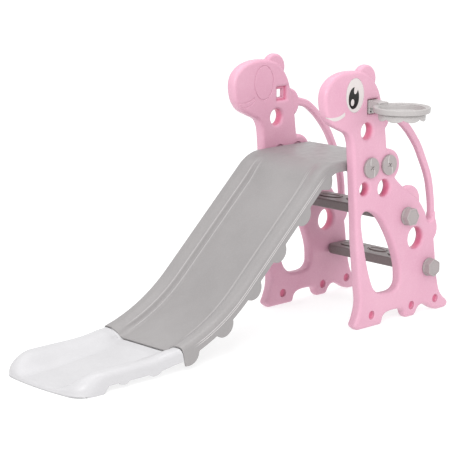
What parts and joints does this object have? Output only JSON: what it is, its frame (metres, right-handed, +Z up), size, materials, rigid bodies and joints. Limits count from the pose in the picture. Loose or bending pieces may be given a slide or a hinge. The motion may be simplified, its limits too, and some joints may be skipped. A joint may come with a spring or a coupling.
{
  "type": "toddler slide",
  "caption": "Low toddler slide between animal-shaped side panels, with treads, curved chute, grab handles, hand nuts and a clip-on ball hoop.",
  "frame": {"origin": "on the floor under the middle of the part's outer box", "axes": "+X from the chute's toe towards the steps, +Y from the hoop side (right panel) towards the left panel, +Z up"},
  "size_m": [1.6504, 0.7084, 0.893],
  "materials": {
    "panel": "satin, lightly grained pink plastic",
    "chute": "satin warm grey plastic",
    "run_out": "satin off-white plastic",
    "step": "satin dark warm grey plastic",
    "hand_nut": "satin warm grey plastic",
    "deck_screw": "satin warm grey plastic",
    "hoop": "satin pale grey plastic",
    "decal": "smooth printed film",
    "screw": "zinc-plated steel"
  },
  "bodies": {
    "slide_body": {"right_side_panel": "panel", "left_side_panel": "panel", "upper_chute": "chute", "lower_chute": "run_out", "chute_joint_screws": "screw", "upper_step": "step", "lower_step": "step", "eye_decal_right": "decal", "eye_decal_left": "decal", "smile_decal_right": "decal", "smile_decal_left": "decal"},
    "upper_nut_right_body": {"upper_nut_right": "hand_nut"},
    "upper_nut_left_body": {"upper_nut_left": "hand_nut"},
    "lower_nut_right_body": {"lower_nut_right": "hand_nut"},
    "lower_nut_left_body": {"lower_nut_left": "hand_nut"},
    "deck_screw_front_right_body": {"deck_screw_front_right": "deck_screw"},
    "deck_screw_front_left_body": {"deck_screw_front_left": "deck_screw"},
    "deck_screw_rear_right_body": {"deck_screw_rear_right": "deck_screw"},
    "deck_screw_rear_left_body": {"deck_screw_rear_left": "deck_screw"},
    "hoop_body": {"hoop_ring": "hoop", "hoop_arm": "hoop"}
  },
  "joints": [
    {"name": "upper_nut_right_turn", "type": "hinge", "parent": "slide_body", "child": "upper_nut_right_body", "pos_m": [0.5922, -0.1362, 0.36], "axis": [0, -1, 0], "continuous": true},
    {"name": "upper_nut_left_turn", "type": "hinge", "parent": "slide_body", "child": "upper_nut_left_body", "pos_m": [0.5922, 0.3238, 0.36], "axis": [0, 1, 0], "continuous": true},
    {"name": "lower_nut_right_turn", "type": "hinge", "parent": "slide_body", "child": "lower_nut_right_body", "pos_m": [0.7102, -0.1362, 0.164], "axis": [0, -1, 0], "continuous": true},
    {"name": "lower_nut_left_turn", "type": "hinge", "parent": "slide_body", "child": "lower_nut_left_body", "pos_m": [0.7102, 0.3238, 0.164], "axis": [0, 1, 0], "continuous": true},
    {"name": "deck_screw_front_right_turn", "type": "hinge", "parent": "slide_body", "child": "deck_screw_front_right_body", "pos_m": [0.4022, -0.1362, 0.55], "axis": [0, -1, 0], "continuous": true},
    {"name": "deck_screw_front_left_turn", "type": "hinge", "parent": "slide_body", "child": "deck_screw_front_left_body", "pos_m": [0.4022, 0.3238, 0.55], "axis": [0, 1, 0], "continuous": true},
    {"name": "deck_screw_rear_right_turn", "type": "hinge", "parent": "slide_body", "child": "deck_screw_rear_right_body", "pos_m": [0.4902, -0.1362, 0.55], "axis": [0, -1, 0], "continuous": true},
    {"name": "deck_screw_rear_left_turn", "type": "hinge", "parent": "slide_body", "child": "deck_screw_rear_left_body", "pos_m": [0.4902, 0.3238, 0.55], "axis": [0, 1, 0], "continuous": true},
    {"name": "hoop_pull_out", "type": "slide", "parent": "slide_body", "child": "hoop_body", "axis": [0, -1, 0], "range_m": [0, 0.07]}
  ]
}
